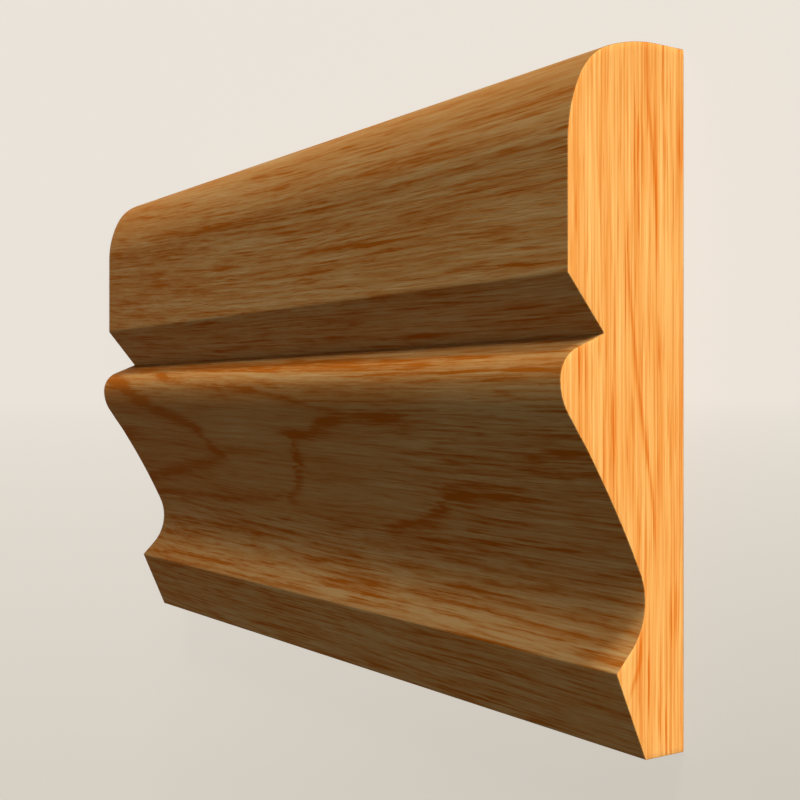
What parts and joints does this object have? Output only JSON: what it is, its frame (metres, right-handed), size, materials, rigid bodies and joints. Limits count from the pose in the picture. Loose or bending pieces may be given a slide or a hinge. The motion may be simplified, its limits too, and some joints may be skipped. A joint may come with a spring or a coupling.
{
  "type": "dado rail",
  "caption": "Moulded wooden dado rail: rounded top edge, flat fascia, V-shaped quirk, projecting nose, long ogee slope into a cove, undercut foot, flat back and square-cut ends.",
  "frame": {"origin": "centre of the flat back, which lies on the floor", "axes": "+X along the rail, +Y up the wall when fixed (towards the rounded top edge), +Z out of the wall, towards the moulded face"},
  "size_m": [0.115, 0.069, 0.016],
  "materials": {
    "oak": "planed oak with a clear satin oil finish on the face, bare saw-cut end grain"
  },
  "bodies": {
    "root": {"dado_rail": "oak"}
  },
  "joints": []
}
